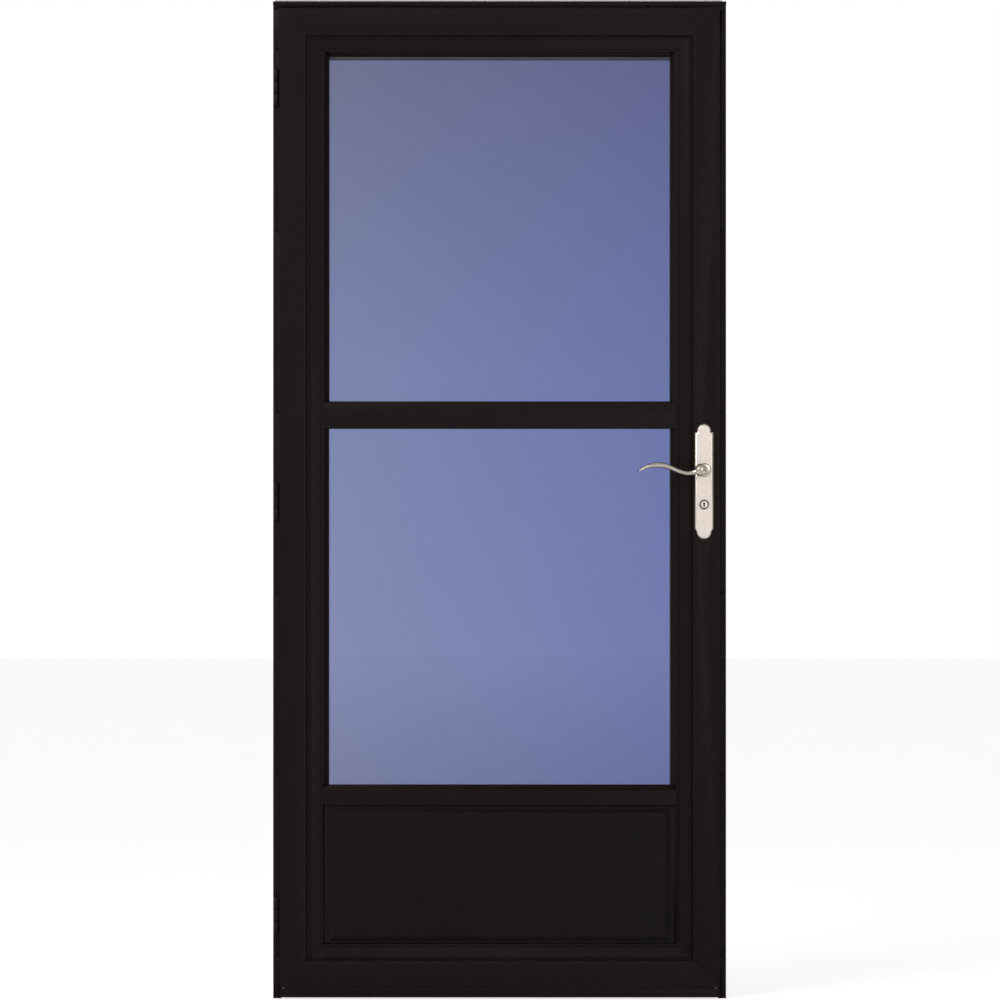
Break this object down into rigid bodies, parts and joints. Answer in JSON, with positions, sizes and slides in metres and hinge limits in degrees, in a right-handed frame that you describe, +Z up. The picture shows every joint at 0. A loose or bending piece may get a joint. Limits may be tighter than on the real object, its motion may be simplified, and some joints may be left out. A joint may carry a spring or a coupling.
{
  "type": "aluminium storm door",
  "caption": "Prehung dark aluminium storm door with two glass lights, raised kick panel, jamb rails, drip cap, hinges and a nickel lever handle set.",
  "frame": {"origin": "on the back face of the hinge-side mounting flange, on its screw line, at its bottom end", "axes": "+Z up, -Y towards the outdoor side, +X from the hinge side to the latch side"},
  "size_m": [0.9354, 0.1442, 2.0582],
  "materials": {
    "dark_frame": "satin dark bronze-brown paint on aluminium",
    "dark_panel": "satin dark bronze-brown paint on embossed sheet",
    "pile_strip": "dark woven pile",
    "sweep_rubber": "matt black",
    "black_plastic": "matt moulded",
    "glazing": "clear float glass with a blue reflection",
    "nickel": "satin nickel",
    "grey_bar": "satin grey",
    "steel": "zinc plated steel"
  },
  "bodies": {
    "frame": {"hinge_side_jamb_rail": "dark_frame", "latch_side_jamb_rail": "dark_frame", "header_drip_cap": "dark_frame", "hinge_side_weatherstrip": "pile_strip", "latch_side_weatherstrip": "pile_strip", "header_weatherstrip": "pile_strip", "strike_plate": "nickel", "jamb_hinge_halves": "dark_frame", "hinge_pins": "dark_frame"},
    "door": {"hinge_stile": "dark_frame", "latch_stile": "dark_frame", "top_rail": "dark_frame", "bottom_rail": "dark_frame", "meeting_rail": "dark_frame", "kick_rail": "dark_frame", "kick_panel": "dark_panel", "kick_panel_inside_skin": "dark_panel", "lower_track_hinge_side": "dark_frame", "lower_track_latch_side": "dark_frame", "upper_track_hinge_side": "dark_frame", "upper_track_latch_side": "dark_frame", "head_glass_stop": "dark_frame", "lower_glass": "glazing", "sash_stile_hinge_side": "dark_frame", "sash_stile_latch_side": "dark_frame", "sash_head": "dark_frame", "sash_foot": "dark_frame", "upper_glass": "glazing", "sash_finger_latches": "black_plastic", "screen_cassette": "dark_frame", "screen_pull_bar": "grey_bar", "bottom_expander": "dark_frame", "bottom_sweep": "sweep_rubber", "door_hinge_halves": "dark_frame", "outside_handle_plate": "nickel", "inside_handle_plate": "nickel", "key_cylinder": "nickel", "mortise_latch": "nickel"},
    "lever": {"outside_lever": "nickel", "inside_lever": "nickel", "lever_spindle": "steel"},
    "key": {"key_plug": "nickel", "thumb_turn": "nickel"}
  },
  "joints": [
    {"name": "door_swing", "type": "hinge", "parent": "frame", "child": "door", "pos_m": [-0.0004, -0.011, 0], "axis": [0, 0, -1], "range_deg": [0, 105]},
    {"name": "lever_turn", "type": "hinge", "parent": "door", "child": "lever", "pos_m": [0.8827, 0, 1.091], "axis": [0, -1, 0], "range_deg": [0, 40], "stiffness_Nm_per_rad": 0.6, "springref_deg": -34.38},
    {"name": "key_turn", "type": "hinge", "parent": "door", "child": "key", "pos_m": [0.8827, 0, 1.02], "axis": [0, 1, 0], "range_deg": [0, 90]}
  ]
}
